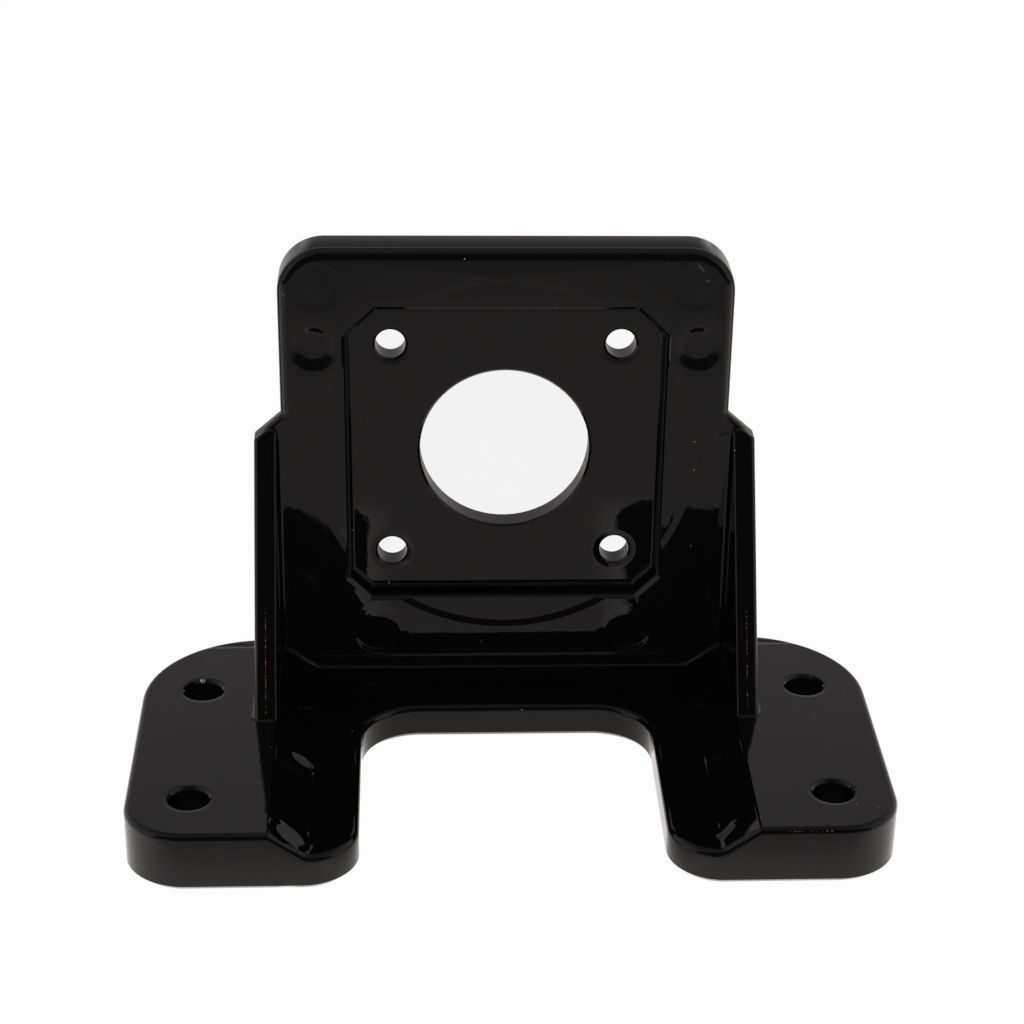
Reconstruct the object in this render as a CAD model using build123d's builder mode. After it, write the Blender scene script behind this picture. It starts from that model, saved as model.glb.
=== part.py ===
"""Motor mounting bracket: one casting with a motor plate, two side gussets and a forked foot.

Frame: +Z up, origin on the sole at the centre of the bounding box, the arms of the foot towards -Y.
The motor is bolted to the plate from the front (-Y), with its nose in the square pocket and its
shaft through the bore. All sizes are in millimetres.
"""

from build123d import *
import os

os.makedirs("parts", exist_ok=True)

# Motor interface: 42 mm square motor flange
hole_spacing = 31.0  # between the four motor holes, both ways
motor_hole_d = 4.1
bore_d = 23.2  # clears the 22 mm pilot of the motor
bore_height = 37.4  # bore axis above the sole
bore_rim = 0.3  # chamfer at both ends
motor_hole_rim = 0.3

# Pocket that squares the motor up
pocket_size = 43.0  # at its mouth: the 42.3 mm flange plus 0.35 mm clearance a side
pocket_depth = 2.8
pocket_draft = 10.0  # degrees
pocket_chamfer_top = 4.0
pocket_chamfer_low = 3.1
pocket_floor_r = 0.4
pocket_rim = 0.2  # broken edge at the mouth

# Motor plate
plate_width = 60.6
plate_height = 67.2
plate_thickness = 6.4
plate_corner_r = 6.2
plate_edge_r = 1.4
plate_back_edge_r = 0.8

# Forked foot
foot_width = 98.8
foot_reach = 47.8  # from the plate's front face to the tips of the arms
foot_shoulder = 2.6  # how far the foot runs back beside the plate
pad_thickness = 8.2
floor_thickness = 4.8
ramp_run = 4.8  # width of each ramp, from the floor up to its pad
ramp_clearance = 0.1  # the ramps reach the pads just inside the gussets
ramp_crest_r = 0.8
ramp_foot_r = 2.5
rear_corner_share = 0.85  # rear corner radius, as a share of the width of a pad
front_corner_r = 8.0
foot_edge_r = 0.9
sole_edge = 0.7  # chamfer

# Notch between the arms
notch_width = 39.4
notch_back = 11.3  # from the plate's front face
notch_corner_r = 8.0
notch_mouth_r = 7.0

# Bolt holes through the pads
foot_hole_d = 5.2  # M5 with 0.2 mm clearance
foot_hole_edge = 8.2  # hole axis in from the side of the foot
foot_hole_spacing_y = 27.1
foot_hole_row = 11.9  # rear pair, from the plate's front face
foot_hole_rim = 0.25

# Side gussets
gusset_offset = 0.6  # inner face of a gusset beyond the plate's side
gusset_thickness = 3.0
gusset_shoulder = 2.45  # how far a gusset runs back beside the plate, just short of the foot's rear
gusset_reach = 20.2  # foot of the sloping edge, from the plate's front face
gusset_top = 42.0  # head of the sloping edge, at the plate's front face
gusset_crest = 43.6  # top of the shoulder where it leaves the plate's side
gusset_crest_slope = 0.88
gusset_front_r = 0.7  # crest and outer edge, at the front
gusset_edge_r = 0.45
gusset_seat = 0.5  # how far a gusset is let into the plate, past the rounded edge
junction_r = 0.6  # where plate, gussets and foot run together

# Cast marks in the plate's front face: a disc about the bore and four pin marks
disc_d = 51.4
disc_depth = 0.25
disc_wall = 0.9
pin_d = 6.5
pin_upper = (25.7, 53.5)
pin_upper_depth = 0.5
pin_upper_wall = 1.3
pin_lower = (17.7, 10.3)
pin_lower_depth = 0.25
pin_lower_wall = 0.7

margin = 1.5  # how far a cutting form stands clear of what it cuts

# Positions that follow from the sizes above
depth = foot_reach + plate_thickness
face_y = depth / 2 - plate_thickness
front_y = face_y - foot_reach
shoulder_y = face_y + foot_shoulder
notch_y = face_y - notch_back
bolt_y = face_y - foot_hole_row - foot_hole_spacing_y / 2
gusset_inner = plate_width / 2 + gusset_offset
gusset_outer = gusset_inner + gusset_thickness
ramp_top_width = 2 * (gusset_inner - ramp_clearance)
ramp_foot_width = ramp_top_width - 2 * ramp_run
rear_corner_r = rear_corner_share * (foot_width - ramp_top_width) / 2
foot_hole_spacing_x = foot_width - 2 * foot_hole_edge
crest_start = plate_width / 2 - plate_edge_r - gusset_seat
crest_end = gusset_outer + margin
face = Plane.XZ.offset(-face_y)


def crest_at(x):
    """Height of a gusset's crest at a distance x from the centre plane."""
    return gusset_crest - gusset_crest_slope * (x - plate_width / 2)


def rims(part, diameter):
    """The circular edges of that diameter."""
    return part.edges().filter_by(GeomType.CIRCLE).filter_by(lambda e: abs(e.radius - diameter / 2) < 0.01)


def stands_free(edge):
    """True for an edge of a gusset that ends up neither in the plate nor in the foot."""
    return edge.center().X > crest_start + 0.1 and edge.center().Z > pad_thickness


# ---- Forked foot: two pads joined by a thinner floor, with a ramp up to each pad
with BuildPart() as foot:
    with BuildSketch() as footprint:
        with Locations((0, (front_y + shoulder_y) / 2)):
            Rectangle(foot_width, shoulder_y - front_y)
        fillet(footprint.vertices().group_by(Axis.Y)[-1], rear_corner_r)
        fillet(footprint.vertices().group_by(Axis.Y)[0], front_corner_r)
        with Locations((0, (front_y + notch_y) / 2)):
            Rectangle(notch_width, notch_y - front_y, mode=Mode.SUBTRACT)
        notch_ends = footprint.vertices().filter_by_position(Axis.X, -notch_width / 2, notch_width / 2)
        fillet(notch_ends.group_by(Axis.Y)[-1], notch_corner_r)
        notch_ends = footprint.vertices().filter_by_position(Axis.X, -notch_width / 2, notch_width / 2)
        fillet(notch_ends.group_by(Axis.Y)[0], notch_mouth_r)
    extrude(amount=pad_thickness)

    # The channel that leaves the floor and the two ramps, right through from front to back
    with BuildSketch(Plane.XZ.offset(-shoulder_y)) as channel:
        with BuildLine():
            Polyline(
                (-ramp_foot_width / 2, floor_thickness),
                (ramp_foot_width / 2, floor_thickness),
                (ramp_top_width / 2, pad_thickness),
                (foot_width / 2, pad_thickness),
                (foot_width / 2, pad_thickness + margin),
                (-foot_width / 2, pad_thickness + margin),
                (-foot_width / 2, pad_thickness),
                (-ramp_top_width / 2, pad_thickness),
                close=True,
            )
        make_face()
        crests = channel.vertices().filter_by_position(Axis.X, -ramp_top_width / 2, ramp_top_width / 2)
        fillet(crests.group_by(Axis.Y)[-1], ramp_crest_r)
        fillet(channel.vertices().group_by(Axis.Y)[0], ramp_foot_r)
    extrude(amount=shoulder_y - front_y, mode=Mode.SUBTRACT)

    # One rounded rim that runs over pads, ramps and floor
    rim = foot.edges().filter_by(lambda e: e.center().Z > floor_thickness - 0.1)
    along = rim.filter_by(Axis.Y)
    creases = along.filter_by(lambda e: notch_width / 2 + 1 < abs(e.center().X) < foot_width / 2 - 1)
    fillet(rim - creases, foot_edge_r)
    chamfer(foot.faces().sort_by(Axis.Z)[0].edges(), sole_edge)

    # Bolt holes in the pads
    with Locations((0, bolt_y, pad_thickness)):
        with GridLocations(foot_hole_spacing_x, foot_hole_spacing_y, 2, 2):
            Hole(foot_hole_d / 2)
    chamfer(rims(foot, foot_hole_d), foot_hole_rim)

# ---- Motor plate
with BuildPart() as plate:
    with BuildSketch(face) as plate_outline:
        with Locations((0, plate_height / 2)):
            Rectangle(plate_width, plate_height)
        fillet(plate_outline.vertices().group_by(Axis.Y)[-1], plate_corner_r)
    extrude(amount=-plate_thickness)
    fillet(plate.faces().sort_by(Axis.Y)[0].edges().filter_by(lambda e: e.center().Z > 1), plate_edge_r)
    fillet(plate.faces().sort_by(Axis.Y)[-1].edges(), plate_back_edge_r)

    # Shallow disc about the bore, with a soft wall
    with Locations(face):
        with Locations((0, bore_height)):
            Cone(
                disc_d / 2 - disc_wall / 2,
                disc_d / 2 + disc_wall / 2,
                disc_depth,
                align=(Align.CENTER, Align.CENTER, Align.MAX),
                mode=Mode.SUBTRACT,
            )

    # Pin marks: a pair above, pressed in deeper, and a pair below
    for (x, z), mark_depth, wall in (
        (pin_upper, pin_upper_depth, pin_upper_wall),
        (pin_lower, pin_lower_depth, pin_lower_wall),
    ):
        with Locations(face):
            with Locations((-x, z), (x, z)):
                Cone(
                    pin_d / 2 - wall,
                    pin_d / 2,
                    mark_depth,
                    align=(Align.CENTER, Align.CENTER, Align.MAX),
                    mode=Mode.SUBTRACT,
                )

    # Square pocket with cut corners and drafted walls
    with BuildSketch(face) as pocket:
        with Locations((0, bore_height)):
            Rectangle(pocket_size, pocket_size)
        chamfer(pocket.vertices().group_by(Axis.Y)[-1], pocket_chamfer_top)
        chamfer(pocket.vertices().group_by(Axis.Y)[0], pocket_chamfer_low)
    extrude(amount=-pocket_depth, taper=pocket_draft, mode=Mode.SUBTRACT)
    pocket_floor = plate.faces().filter_by(
        lambda f: abs(f.center().Y - face_y - pocket_depth) < 0.01 and abs(f.normal_at().Y + 1) < 0.01
    )
    fillet(pocket_floor.edges(), pocket_floor_r)

    # The broken edge of the pocket's mouth, measured from the disc and not from the plate
    with BuildSketch(face) as mouth:
        offset(pocket.sketch, amount=disc_depth + pocket_rim, kind=Kind.INTERSECTION)
    extrude(amount=-disc_depth - 2 * pocket_rim, taper=45, mode=Mode.SUBTRACT)

    # Bore and motor holes
    with Locations(face):
        with Locations((0, bore_height)):
            Hole(bore_d / 2)
            with GridLocations(hole_spacing, hole_spacing, 2, 2):
                Hole(motor_hole_d / 2)
    chamfer(rims(plate, bore_d), bore_rim)
    chamfer(rims(plate, motor_hole_d), motor_hole_rim)

# ---- One side gusset: a shoulder beside the plate and a web that slopes down to the pad
with BuildPart() as gusset:
    with BuildSketch(face) as shoulder:
        with BuildLine():
            Polyline(
                (crest_start, floor_thickness / 2),
                (gusset_outer, floor_thickness / 2),
                (gusset_outer, crest_at(gusset_outer)),
                (crest_start, crest_at(crest_start)),
                close=True,
            )
        make_face()
    extrude(amount=-gusset_shoulder)
    with BuildSketch(Plane.YZ.offset(gusset_inner)) as web:
        with BuildLine():
            Polyline(
                (face_y, floor_thickness / 2),
                (face_y, gusset_top),
                (face_y - gusset_reach, pad_thickness),
                (face_y - gusset_reach, floor_thickness / 2),
                close=True,
            )
        make_face()
    extrude(amount=gusset_thickness)

    # The crest falls away outwards, over the shoulder and the head of the web alike
    with BuildSketch(face) as above_crest:
        with BuildLine():
            Polyline(
                (plate_width / 2, gusset_crest),
                (crest_end, crest_at(crest_end)),
                (crest_end, gusset_crest),
                close=True,
            )
        make_face()
    extrude(amount=gusset_reach, both=True, mode=Mode.SUBTRACT)

    # Rounded most along the front of the crest and the outer edge of the web, and less along the rest
    exposed = gusset.edges().filter_by(stands_free)
    front = exposed.filter_by(lambda e: e.center().Y < face_y + 0.01)
    front = front.filter_by(lambda e: abs(e.center().X - gusset_inner) > 0.01)
    fillet(front - front.filter_by(Axis.X) - front.filter_by(Axis.Z), gusset_front_r)
    exposed = gusset.edges().filter_by(stands_free)
    rear = exposed.group_by(Axis.Y)[-1]
    crest_side = exposed.filter_by(Axis.Y).filter_by(lambda e: abs(e.center().X - gusset_outer) < 0.01)
    inner_slope = exposed.filter_by(
        lambda e: abs(e.center().X - gusset_inner) < 0.01 and e.center().Y < face_y - 0.1
    )
    fillet(rear + crest_side + inner_slope, gusset_edge_r)

# ---- The casting: foot, plate and both gussets in one, with its inner corners rounded
with BuildPart() as bracket:
    add(foot.part)
    add(plate.part)
    add(gusset.part)
    mirror(gusset.part, about=Plane.YZ)

    at_face = bracket.edges().filter_by(lambda e: abs(e.center().Y - face_y) < 0.02)
    plate_foot_line = at_face.filter_by(
        lambda e: e.center().Z < pad_thickness + 0.05 and abs(e.center().X) < gusset_inner + 0.01
    )
    plate_gusset_corners = at_face.filter_by(
        lambda e: abs(abs(e.center().X) - gusset_inner) < 0.01 and pad_thickness < e.center().Z < gusset_top
    )
    gusset_feet = bracket.edges().filter_by(
        lambda e: abs(e.center().Z - pad_thickness) < 0.1
        and gusset_inner - 0.01 < abs(e.center().X) < gusset_outer + 0.01
        and face_y - gusset_reach - 0.1 < e.center().Y < shoulder_y - foot_edge_r
    )
    fillet(plate_foot_line + plate_gusset_corners + gusset_feet, junction_r)

bracket.part.label = "bracket_casting"
export_step(bracket.part, "parts/bracket_casting.step")
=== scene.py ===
import math
import bpy
import numpy as np
from mathutils import Matrix, Vector

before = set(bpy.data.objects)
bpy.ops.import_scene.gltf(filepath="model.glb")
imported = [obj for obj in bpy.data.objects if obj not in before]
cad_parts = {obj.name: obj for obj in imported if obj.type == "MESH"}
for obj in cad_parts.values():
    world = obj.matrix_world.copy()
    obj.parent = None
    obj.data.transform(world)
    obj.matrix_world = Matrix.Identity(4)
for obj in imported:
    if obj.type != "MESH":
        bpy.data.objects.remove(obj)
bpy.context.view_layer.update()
scene = bpy.context.scene
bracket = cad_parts["bracket_casting"]

# ---- places on the casting, in millimetres, read from its own mesh where it gives them
MM = 0.001
corners = np.array([bracket.matrix_world @ Vector(c) for c in bracket.bound_box]) / MM
low = corners.min(axis=0)
high = corners.max(axis=0)
FRONT = low[1]  # tips of the arms
TOP = high[2]
PLATE = 6.4  # thickness of the plate
FACE = high[1] - PLATE  # front face of the plate
SIDE = 30.3  # half the plate's width
EDGE_R = 1.4  # rounding round the face
PAD = 8.2  # top of the pads
BORE = 37.4  # height of the bore
BORE_R = 11.6
HOLES = 15.5  # motor holes, from the bore's axis
HOLE_R = 2.05
POCKET = 21.5  # half the pocket's width
POCKET_DEPTH = 2.8
CUT_TOP = 4.0  # its cut corners
CUT_LOW = 3.1
WEB = 32.4  # middle of a gusset's web
FOOT_HOLE = (41.2, 13.55)  # foot holes, from the middle of the foot
FOOT_MIDDLE = -4.75
FOOT_HOLE_R = 2.6

# ---- the paint's relief and flaws, in millimetres on the casting
SWELL, SWELL_HEIGHT = 11.0, 0.045  # long waves
RIPPLE, RIPPLE_HEIGHT = 2.2, 0.0085  # orange peel
DRAFT = math.tan(math.radians(0.85))  # the plate's face leans back
CROWN, CROWN_FALL = 0.23, 0.023  # slope of the plate's top, and how fast it lessens

PIN_R = 3.25
PINS = (  # ends of the ejector pins: centre, start and end of the dish's wall, its depth, tilt of its floor
    ((25.7, 53.5), 1.6, 3.5, 0.31, 0.0),
    ((17.7, 10.3), 2.5, 3.3, 0.13, 0.06),
)
HALO, HALO_DEPTH = 1.4, 0.035  # the face sinks round each of them
SUNK, SUNK_R = (25.1, 62.1), 3.0  # a nearly flush pin near each upper corner
MOUTH_SAGS = ((-0.15, 0.3, 0.025), (0.0, 1.6, 0.045))  # the face sinks to the pocket: from, to, depth
BORE_RIM, BORE_SAG = 1.4, 0.05  # paint drawn back from the rims of the holes: width and depth
HOLE_RIM, HOLE_SAG = 1.1, 0.07
BEAD, BEAD_DEPTH = (0.1, 0.75), 0.07  # round a foot hole: start and end beyond its edge

LEANS = (  # where a ramp leans to the light: side, centre, slope along y and x, even within, gone beyond
    (-1, (28.2, FRONT + 2.9), 0.07, -0.17, 1.5, 2.9),
    (-1, (27.4, -5.6), 0.19, -0.12, 1.0, 2.2),
    (1, (27.2, FRONT + 4.0), 0.07, -0.17, 0.5, 1.7),
)
DENTS = (  # pits in the face's upper edge, in the face and in the pocket
    (-9.3, FACE, TOP - 0.5),
    (-0.9, FACE, TOP - 0.5),
    (26.8, FACE, 36.6),
    (4.4, FACE + POCKET_DEPTH, 53.0),
    (8.2, FACE + POCKET_DEPTH, 51.4),
    (14.4, FACE + POCKET_DEPTH, 48.8),
)
DENT_R, DENT_DEPTH = 0.18, 0.06
HAIRS = (  # ends of the lint and scratches
    ((25.1, FACE, 65.3), (25.9, FACE, 64.3)),
    ((26.2, FACE, 62.9), (26.7, FACE, 63.2)),
    ((-29.9, FACE + 0.3, 61.7), (-29.2, FACE, 60.8)),
)
HAIR_WIDTH = 0.06
STROKE = ((29.2, FACE, 40.7), (30.2, FACE, 41.0))  # a cut through the gloss
STROKE_WIDTH = 0.16
FLAKE, FLAKE_R = (-41.6, 11.5, PAD), 1.2  # behind the rear left foot hole
DUST_CELL, DUST_R, DUST_SHARE = 2.6, 0.035, 0.2  # one place a cell, a fifth of them with a grain
WEB_RUB = 0.13  # half the width of the rubbed line on a web
PAD_RUB, PAD_RUB_DROP = 0.12, 0.38  # the same on a pad, and how far it is below the pad's top
PAD_RUB_MIDDLE = 37.2

PAINT = ((0.0020, 0.0019, 0.0019, 1), (0.0014, 0.0013, 0.0012, 1))
# pale colour of a painted highlight along the upper edge of the pocket's mouth
MOUTH_HIGHLIGHT_COLOUR = (0.045, 0.041, 0.039, 1)
DUST = (0.16, 0.145, 0.13, 1)
BARE_METAL = (0.22, 0.21, 0.21, 1)
PRIMER = (0.26, 0.11, 0.05, 1)
BLACK = (0, 0, 0, 1)
PAINT_IOR = 1.33

# ---- smooth shading across the rounded edges: same mesh, corner normals averaged below a set angle
SMOOTH = math.radians(28)
CREASE = math.radians(12)  # for the shallow disc in the plate's face, whose wall slopes little
GRID = 1e6  # corners that round to the same micrometre are one point


def read(items, name, width=1, kind=float):
    """One property of all the items as an array, with a row for each item where it has several numbers."""
    values = np.empty(len(items) * width, kind)
    items.foreach_get(name, values)
    return values.reshape(-1, width) if width > 1 else values


def corner_angles(co, vert, start, total):
    """The angle of each facet at each of its corners."""
    after = np.arange(len(vert)) + 1
    after[start + total - 1] = start
    before = np.arange(len(vert)) - 1
    before[start] = start + total - 1
    a = co[vert[after]] - co[vert]
    b = co[vert[before]] - co[vert]
    lengths = np.linalg.norm(a, axis=1) * np.linalg.norm(b, axis=1)
    return np.arccos(np.clip((a * b).sum(1) / np.maximum(lengths, 1e-15), -1, 1))


def soft_normals(obj):
    """Corner normals from the neighbouring facets: a fillet reads as one curve, an edge stays an edge."""
    mesh = obj.data
    co = read(mesh.vertices, "co", 3)
    vert = read(mesh.loops, "vertex_index", kind=np.int64)
    normal = read(mesh.polygons, "normal", 3)
    start = read(mesh.polygons, "loop_start", kind=np.int64)
    total = read(mesh.polygons, "loop_total", kind=np.int64)
    facet = np.repeat(np.arange(len(total)), total)
    weight = corner_angles(co, vert, start, total) * read(mesh.polygons, "area")[facet]

    x_side, y, z = abs(co[vert, 0]) / MM, co[vert, 1] / MM, co[vert, 2] / MM
    marks = (y > FACE - 0.02) & (y < FACE + 0.6) & (z > PLATE)
    shallow = marks & (x_side < SIDE - 1.2) & (z < BORE - 5)
    limit = np.where(shallow, math.cos(CREASE), math.cos(SMOOTH))

    _, point = np.unique(np.round(co * GRID).astype(np.int64), axis=0, return_inverse=True)
    point = point.ravel()[vert]
    order = np.argsort(point, kind="stable")
    cuts = np.flatnonzero(np.diff(point[order])) + 1
    out = np.empty((len(vert), 3))
    for group in np.split(order, cuts):
        around = normal[facet[group]]
        near = (around @ around.T) >= limit[group][:, None]
        summed = near.astype(float) @ (around * weight[group][:, None])
        out[group] = summed / np.maximum(np.linalg.norm(summed, axis=1, keepdims=True), 1e-12)
    for centre, *_ in PINS:  # the paint's own height rounds the pins, so their walls shade like the face
        pin = marks & (np.hypot(x_side - centre[0], z - centre[1]) < PIN_R + 0.02)
        out[pin] = (0, -1, 0)
    mesh.polygons.foreach_set("use_smooth", np.ones(len(total), bool))
    mesh.normals_split_custom_set([tuple(v) for v in out])
    mesh.update()


soft_normals(bracket)


# ---- building shader graphs
class Graph:
    """A node tree with short names for the nodes used most; numbers may stand for sockets."""

    def __init__(self, tree):
        self.nodes = tree.nodes
        self.links = tree.links
        self.nodes.clear()

    def add(self, kind, **values):
        node = self.nodes.new("ShaderNode" + kind)
        for key, value in values.items():
            setattr(node, key, value)
        return node

    def put(self, value, socket):
        if isinstance(value, bpy.types.NodeSocket):
            self.links.new(value, socket)
        else:
            socket.default_value = value

    def math(self, kind, *values, clamp=False):
        node = self.add("Math", operation=kind, use_clamp=clamp)
        for value, socket in zip(values, node.inputs):
            self.put(value, socket)
        return node.outputs[0]

    def chain(self, kind, values):
        out = values[0]
        for value in values[1:]:
            out = self.math(kind, out, value)
        return out

    def plus(self, *values):
        return self.chain("ADD", values)

    def times(self, *values):
        return self.chain("MULTIPLY", values)

    def most(self, *values):
        return self.chain("MAXIMUM", values)

    def minus(self, a, b):
        return self.math("SUBTRACT", a, b)

    def size(self, value):
        return self.math("ABSOLUTE", value)

    def ramp(self, value, lo, hi, out_lo=0.0, out_hi=1.0):
        """The first output at lo, passing softly into the second at hi."""
        node = self.add("MapRange", interpolation_type="SMOOTHSTEP")
        names = ("Value", "From Min", "From Max", "To Min", "To Max")
        for name, number in zip(names, (value, lo, hi, out_lo, out_hi)):
            self.put(number, node.inputs[name])
        return node.outputs["Result"]

    def fade(self, value, lo, hi):
        """1 up to lo, falling softly to 0 at hi."""
        return self.ramp(value, lo, hi, 1.0, 0.0)

    def vector(self, kind, *values):
        node = self.add("VectorMath", operation=kind)
        for value, socket in zip(values, node.inputs):
            self.put(value, socket)
        return node.outputs["Value" if kind in ("DISTANCE", "DOT_PRODUCT") else "Vector"]

    def scale(self, value, factor):
        node = self.add("VectorMath", operation="SCALE")
        self.put(value, node.inputs[0])
        self.put(factor, node.inputs["Scale"])
        return node.outputs["Vector"]

    def split(self, value):
        node = self.add("SeparateXYZ")
        self.put(value, node.inputs[0])
        return node.outputs

    def noise(self, place, size, detail=2.0, rough=0.5):
        """Noise between 0 and 1 whose features are about that size, in the units of place."""
        node = self.add("TexNoise")
        self.put(place, node.inputs["Vector"])
        node.inputs["Scale"].default_value = 1.0 / size
        node.inputs["Detail"].default_value = detail
        node.inputs["Roughness"].default_value = rough
        return node.outputs["Fac"]

    def mix(self, factor, a, b):
        node = self.add("Mix", data_type="RGBA")
        self.put(factor, node.inputs["Factor"])
        for value, socket in ((a, node.inputs[6]), (b, node.inputs[7])):
            self.put(value, socket)
        return node.outputs[2]

    def blend(self, factor, a, b):
        node = self.add("MixShader")
        self.put(factor, node.inputs[0])
        self.links.new(a, node.inputs[1])
        self.links.new(b, node.inputs[2])
        return node.outputs[0]


def place_in_mm(g):
    coord = g.add("TexCoord")
    return g.scale(coord.outputs["Object"], 1 / MM)


def flat_place(g, across, up):
    """A place in the plane of a face, for distances to the middles of round marks."""
    node = g.add("CombineXYZ")
    g.put(across, node.inputs[0])
    g.put(up, node.inputs[1])
    return node.outputs[0]


def away_from(g, flat, centre):
    return g.vector("DISTANCE", flat, (centre[0], centre[1], 0.0))


def cluster(g, place, centres, radius):
    """1 at any of the centres, falling softly to 0 at that radius."""
    away = g.chain("MINIMUM", [g.vector("DISTANCE", place, centre) for centre in centres])
    return g.fade(away, 0.0, radius)


def hair(g, place, a, b, width):
    """1 along a straight line between two places."""
    a, b = Vector(a), Vector(b)
    run = b - a
    from_a = g.vector("SUBTRACT", place, a)
    share = g.math("DIVIDE", g.vector("DOT_PRODUCT", from_a, run), run.length_squared, clamp=True)
    away = g.vector("DISTANCE", from_a, g.scale(run, share))
    return g.fade(away, width * 0.5, width)


def pocket_distance(g, x_side, z_up):
    """How far a place in the plate's face is outside the pocket's outline."""
    z_side = g.size(z_up)
    far = g.most(g.minus(x_side, POCKET), g.minus(z_side, POCKET))
    cut = g.plus(g.times(g.math("GREATER_THAN", z_up, 0.0), CUT_TOP - CUT_LOW), CUT_LOW)
    corner = g.plus(g.minus(g.plus(x_side, z_side), 2 * POCKET), cut)
    return g.most(far, g.times(corner, math.sqrt(0.5)))


class Spot:
    """A place on the casting and what the paint's marks are laid out by; they repeat left and right."""

    def __init__(self, g):
        self.place = place_in_mm(g)
        self.x, self.y, self.z = g.split(self.place)
        self.x_side = g.size(self.x)
        self.z_up = g.minus(self.z, BORE)
        self.on_side = flat_place(g, self.x_side, self.z)
        self.outside = pocket_distance(g, self.x_side, self.z_up)


# ---- gloss black paint over the cast surface: first its height, in millimetres
def face_relief(g, at):
    """The plate's face: its draft, the ends of the ejector pins, and where it sinks to the pocket."""
    parts = [g.times(at.z, -DRAFT)]
    for centre, start, end, depth, tilt in PINS:
        ring = away_from(g, at.on_side, centre)
        dish = g.minus(g.times(g.minus(at.z, centre[1]), tilt), depth)
        parts.append(g.times(dish, g.fade(ring, start, end)))
        parts.append(g.ramp(ring, PIN_R, PIN_R + HALO, -HALO_DEPTH, 0.0))
    parts.append(g.ramp(away_from(g, at.on_side, SUNK), SUNK_R - 0.7, SUNK_R + 0.7, -HALO_DEPTH, 0.0))
    for start, end, depth in MOUTH_SAGS:
        parts.append(g.ramp(at.outside, start, end, -depth, 0.0))
    on_face = g.times(
        g.ramp(at.y, FACE - 0.3, FACE - 0.1),
        g.fade(at.y, FACE + 0.5, FACE + 0.8),
        g.ramp(at.z, PLATE, PLATE + 0.6),
    )
    return g.times(g.plus(*parts), on_face)


def rim_relief(g, at):
    """In the pocket the paint draws back from the rims of the bore and the motor holes."""
    motor_hole = away_from(g, flat_place(g, at.x_side, g.size(at.z_up)), (HOLES, HOLES))
    rims = g.plus(
        g.ramp(away_from(g, at.on_side, (0, BORE)), BORE_R, BORE_R + BORE_RIM, -BORE_SAG, 0.0),
        g.ramp(motor_hole, HOLE_R, HOLE_R + HOLE_RIM, -HOLE_SAG, 0.0),
    )
    in_pocket = g.times(g.ramp(at.y, FACE + 1.5, FACE + 2.0), g.fade(at.outside, -2.0, -1.0))
    return g.times(rims, in_pocket)


def top_relief(g, at):
    """The plate's top is crowned, sloping most near its front edge."""
    behind = g.most(g.minus(at.y, FACE + EDGE_R), 0.0)
    crown = g.times(behind, g.minus(CROWN, g.times(behind, CROWN_FALL)))
    return g.times(crown, g.ramp(at.z, TOP - 0.9, TOP - 0.1))


def ramp_relief(g, at):
    """Parts of the foot's ramps that lean a little towards the light."""
    on_foot = flat_place(g, at.x, at.y)
    parts = []
    for side, centre, along, across, even, gone in LEANS:
        middle = (side * centre[0], centre[1])
        rise = g.plus(
            g.times(g.minus(at.y, middle[1]), along),
            g.times(g.minus(at.x, middle[0]), side * across),
        )
        parts.append(g.times(rise, g.fade(away_from(g, on_foot, middle), even, gone)))
    return g.times(g.plus(*parts), g.fade(at.z, PAD, PAD + 0.3))


def pad_relief(g, at):
    """A bead of paint round the foot holes."""
    quarter = flat_place(g, at.x_side, g.size(g.minus(at.y, FOOT_MIDDLE)))
    start, end = (FOOT_HOLE_R + v for v in BEAD)
    bead = g.ramp(away_from(g, quarter, FOOT_HOLE), start, end, -BEAD_DEPTH, 0.0)
    return g.times(bead, g.ramp(at.z, PAD - 0.4, PAD - 0.3))


def paint_height(g, at):
    return g.plus(
        g.times(g.noise(at.place, SWELL, 1), SWELL_HEIGHT),
        g.times(g.noise(at.place, RIPPLE, 3, 0.68), RIPPLE_HEIGHT),
        g.times(cluster(g, at.place, DENTS, DENT_R), -DENT_DEPTH),
        ramp_relief(g, at),
        top_relief(g, at),
        pad_relief(g, at),
        face_relief(g, at),
        rim_relief(g, at),
    )


# ---- then what shows in or through it, each from 0 to 1
def dust(g, at):
    """Grains that dried into the paint."""
    cells = g.add("TexVoronoi")
    g.put(at.place, cells.inputs["Vector"])
    cells.inputs["Scale"].default_value = 1 / DUST_CELL
    chance = g.split(cells.outputs["Color"])[0]
    grain = g.math("LESS_THAN", cells.outputs["Distance"], DUST_R)
    return g.times(grain, g.math("GREATER_THAN", chance, 1 - DUST_SHARE))


def rubbed(g, at):
    """Copper-coloured primer in broken lines down the fronts of the webs and along the edge of one pad."""
    web_line = g.times(
        g.fade(g.size(g.minus(at.x_side, WEB)), 0.0, WEB_RUB),
        g.ramp(at.z, PAD + 0.2, PAD + 1.0),
        g.fade(at.z, 19.0, 28.0),
        g.fade(at.y, FACE - 0.8, FACE - 0.4),
    )
    pad_line = g.times(
        g.fade(g.size(g.minus(at.z, PAD - PAD_RUB_DROP)), 0.0, PAD_RUB),
        g.fade(at.y, FRONT + 0.3, FRONT + 0.5),
        g.ramp(g.size(g.minus(at.x, PAD_RUB_MIDDLE)), 2.4, 4.2, 0.96, 0.0),
    )
    speckle = g.noise(at.place, 0.22, 2, 0.7)
    return g.ramp(g.times(g.most(web_line, pad_line), speckle), 0.50, 0.56)


def flaked(g, at):
    """A chip on the rear rim of the rear left foot hole."""
    chip = g.times(cluster(g, at.place, (FLAKE,), FLAKE_R), g.noise(at.place, 0.2, 2, 0.7))
    return g.ramp(chip, 0.40, 0.46)


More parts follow.
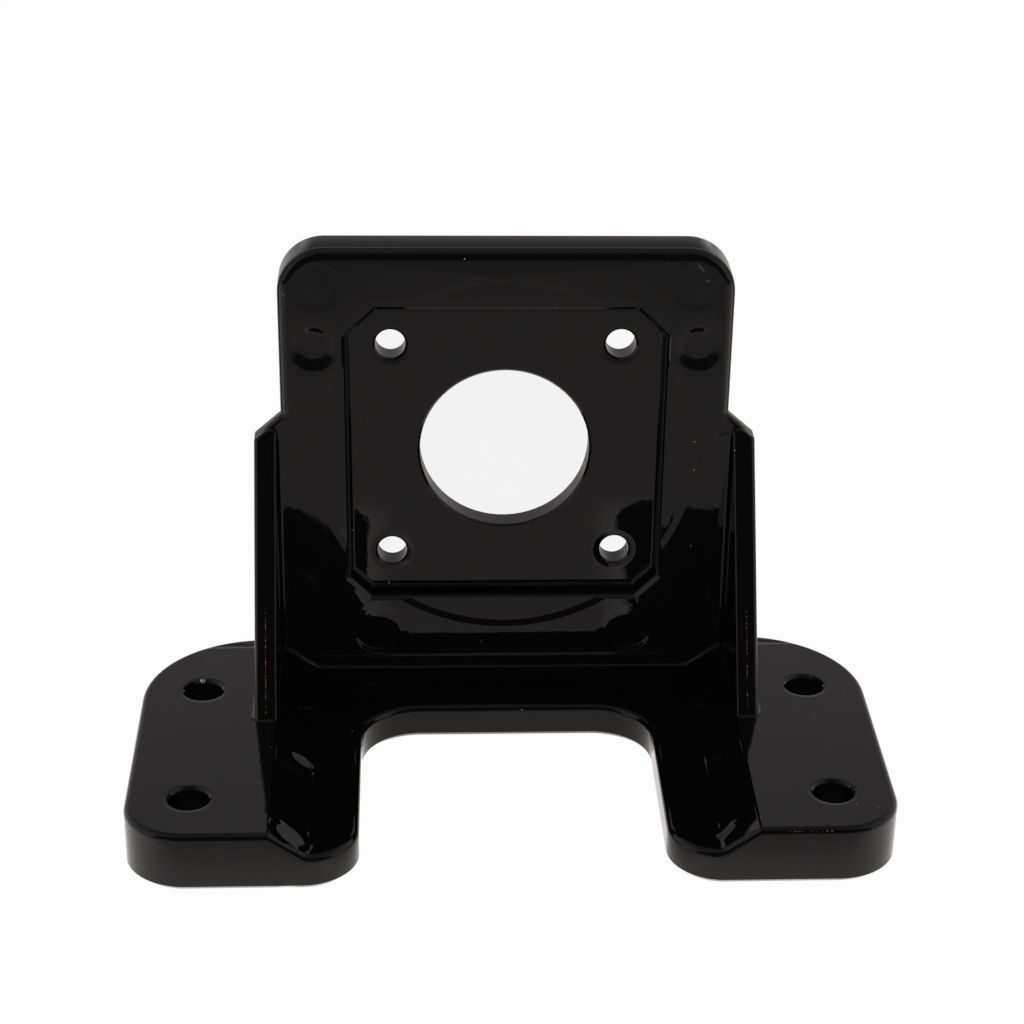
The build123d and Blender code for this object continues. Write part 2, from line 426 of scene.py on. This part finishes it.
def painted_mouth_highlight(g, at):
    """A painted highlight: a paler line along the upper edge of the pocket's mouth, between its cut
    corners.
    """
    return g.times(
        g.fade(g.size(g.minus(at.outside, 0.12)), 0.05, 0.2),
        g.fade(at.x_side, 12.8, 13.8),
        g.math("GREATER_THAN", at.z_up, 0.0),
        g.fade(at.y, FACE + 0.4, FACE + 0.8),
    )


def paint_material():
    m = bpy.data.materials.new("gloss_black_paint")
    m.use_nodes = True
    g = Graph(m.node_tree)
    at = Spot(g)
    bump = g.add("Bump")
    bump.inputs["Strength"].default_value = 1.0
    bump.inputs["Distance"].default_value = MM
    g.put(paint_height(g, at), bump.inputs["Height"])

    lint = g.most(*[hair(g, at.place, a, b, HAIR_WIDTH) for a, b in HAIRS])
    pale = g.most(dust(g, at), g.times(lint, 0.35))
    flake = flaked(g, at)
    primer = rubbed(g, at)
    cut = hair(g, at.place, *STROKE, STROKE_WIDTH)

    colour = g.mix(g.noise(at.place, 14, 2), *PAINT)
    # painted highlight: a paler line along the upper edge of the pocket's mouth
    colour = g.mix(g.times(painted_mouth_highlight(g, at), 0.6), colour, MOUTH_HIGHLIGHT_COLOUR)
    colour = g.mix(pale, colour, DUST)
    colour = g.mix(flake, colour, BARE_METAL)
    colour = g.mix(primer, colour, PRIMER)
    colour = g.mix(cut, colour, BLACK)
    worn = g.most(pale, flake, primer, cut)
    rough = g.plus(g.times(g.noise(at.place, 5, 2), 0.03), 0.02, g.times(worn, 0.4))

    bsdf = g.add("BsdfPrincipled")
    g.put(colour, bsdf.inputs["Base Color"])
    g.put(rough, bsdf.inputs["Roughness"])
    g.put(bump.outputs[0], bsdf.inputs["Normal"])
    bsdf.inputs["IOR"].default_value = PAINT_IOR
    out = g.add("OutputMaterial")
    g.links.new(bsdf.outputs[0], out.inputs[0])
    return m


bracket.data.materials.clear()
bracket.data.materials.append(paint_material())

# ---- stage: a pale sheet and a pale room, open and dark towards the front, where the camera stands
SHEET = (1.0, 0.94, 0.92, 1)
ROOM = (1.0, 0.94, 0.98, 1)
SHEET_HALF = 3.0  # metres


def sheet_glow(g, x_side, y):
    """How bright the gloss sees the sheet: more to the rear and the sides, less behind the casting."""
    level = g.plus(
        g.ramp(y, -270, -60, 0.20, 0.66),
        g.ramp(x_side, 50, 150, 0.0, 0.30),
        g.times(g.ramp(y, FRONT - 12, FRONT - 1, 0.0, 0.65), g.ramp(x_side, 15, 21)),  # under the arms
        g.times(g.ramp(y, -4, 10, 0.0, 0.28), g.fade(x_side, 18, 22)),  # in the notch
    )
    before_edge = g.ramp(y, -285, -270, 0.15, 1.0)
    behind_casting = g.ramp(y, 30, 90, 1.0, 0.4)
    return g.times(level, before_edge, behind_casting)


def sheet_material():
    """White to the camera save for a painted shadow behind the casting, with a lit part that takes the
    shadow; to the gloss, it falls off in front.
    """
    m = bpy.data.materials.new("pale_sheet")
    m.use_nodes = True
    g = Graph(m.node_tree)
    x, y, _ = g.split(place_in_mm(g))
    x_side = g.size(x)
    gloss = g.add("Emission")
    gloss.inputs["Color"].default_value = SHEET
    g.put(sheet_glow(g, x_side, y), gloss.inputs["Strength"])
    # painted shadow: to the camera the sheet is up to 9% darker in a patch behind the casting
    behind = g.times(g.ramp(y, 40, 80), g.fade(y, 140, 190), g.fade(x_side, 16, 38))
    white = g.add("Emission")
    g.put(g.minus(1.0, g.times(behind, 0.09)), white.inputs["Strength"])
    dull = g.add("BsdfDiffuse")
    dull.inputs["Color"].default_value = (0.9, 0.9, 0.9, 1)
    path = g.add("LightPath")
    seen = g.blend(0.95, dull.outputs[0], white.outputs[0])
    bounced = g.blend(path.outputs["Is Glossy Ray"], dull.outputs[0], gloss.outputs[0])
    out = g.add("OutputMaterial")
    g.links.new(g.blend(path.outputs["Is Camera Ray"], bounced, seen), out.inputs[0])
    return m


def lay_sheet():
    mesh = bpy.data.meshes.new("sheet")
    outline = [(-1, -1), (1, -1), (1, 1), (-1, 1)]
    mesh.from_pydata([(x * SHEET_HALF, y * SHEET_HALF, 0) for x, y in outline], [], [(0, 1, 2, 3)])
    mesh.materials.append(sheet_material())
    sheet = bpy.data.objects.new("sheet", mesh)
    scene.collection.objects.link(sheet)
    return sheet


lay_sheet()


def room():
    """White to the camera, plain to dull surfaces; to the gloss, light at the sides and dark in front."""
    world = bpy.data.worlds.new("room")
    world.use_nodes = True
    g = Graph(world.node_tree)
    coord = g.add("TexCoord")
    x, y, z = g.split(coord.outputs["Generated"])
    level = g.plus(g.ramp(g.size(x), 0.3, 0.8, 0.0, 0.35), g.ramp(z, 0.3, 1.0, 0.58, 0.30))
    level = g.times(level, g.ramp(y, -0.62, -0.45, 0.05, 1.0))
    gloss = g.add("Background")
    gloss.inputs["Color"].default_value = ROOM
    g.put(level, gloss.inputs["Strength"])
    plain = g.add("Background")
    plain.inputs["Strength"].default_value = 0.55
    white = g.add("Background")
    path = g.add("LightPath")
    bounced = g.blend(path.outputs["Is Glossy Ray"], plain.outputs[0], gloss.outputs[0])
    out = g.add("OutputWorld")
    g.links.new(g.blend(path.outputs["Is Camera Ray"], bounced, white.outputs[0]), out.inputs[0])
    return world


scene.world = room()


def softbox(name, place, target, size, power):
    data = bpy.data.lights.new(name, "AREA")
    data.shape = "RECTANGLE"
    data.size = size[0]
    data.size_y = size[1]
    data.energy = power
    obj = bpy.data.objects.new(name, data)
    scene.collection.objects.link(obj)
    obj.location = place
    obj.rotation_euler = (Vector(target) - Vector(place)).to_track_quat("-Z", "Y").to_euler()
    obj.visible_glossy = False


softbox("key", (-0.029, -0.663, 0.381), (0, 0, 0.03), (0.09, 0.09), 4.4)

# ---- camera
PITCH, YAW, ROLL = 0.4887, -0.0580, -0.0062  # its axes: down from level, aside, about the line of sight
CAMERA_PLACE = (-0.01267, -0.29107, 0.18401)
LENS = 88.99
SHIFT = (-0.04668, 0.06833)

cam_data = bpy.data.cameras.new("camera")
cam_data.sensor_width = 36
cam_data.lens = LENS
cam_data.shift_x, cam_data.shift_y = SHIFT
cam_data.clip_start = 0.01
cam_data.clip_end = 10
cam = bpy.data.objects.new("camera", cam_data)
scene.collection.objects.link(cam)
scene.camera = cam
level_view = Matrix(((1, 0, 0), (0, 0, -1), (0, 1, 0)))
turned = Matrix.Rotation(ROLL, 3, "Z") @ Matrix.Rotation(YAW, 3, "Y") @ Matrix.Rotation(PITCH, 3, "X")
look = turned @ level_view
axes = Matrix((look[0], -look[1], -look[2])).transposed()  # right, up and back, as columns
cam.matrix_world = Matrix.Translation(CAMERA_PLACE) @ axes.to_4x4()

scene.view_settings.view_transform = "Standard"

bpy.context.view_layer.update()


def plain(b):
    return [[float(x) for x in v] for v in b]
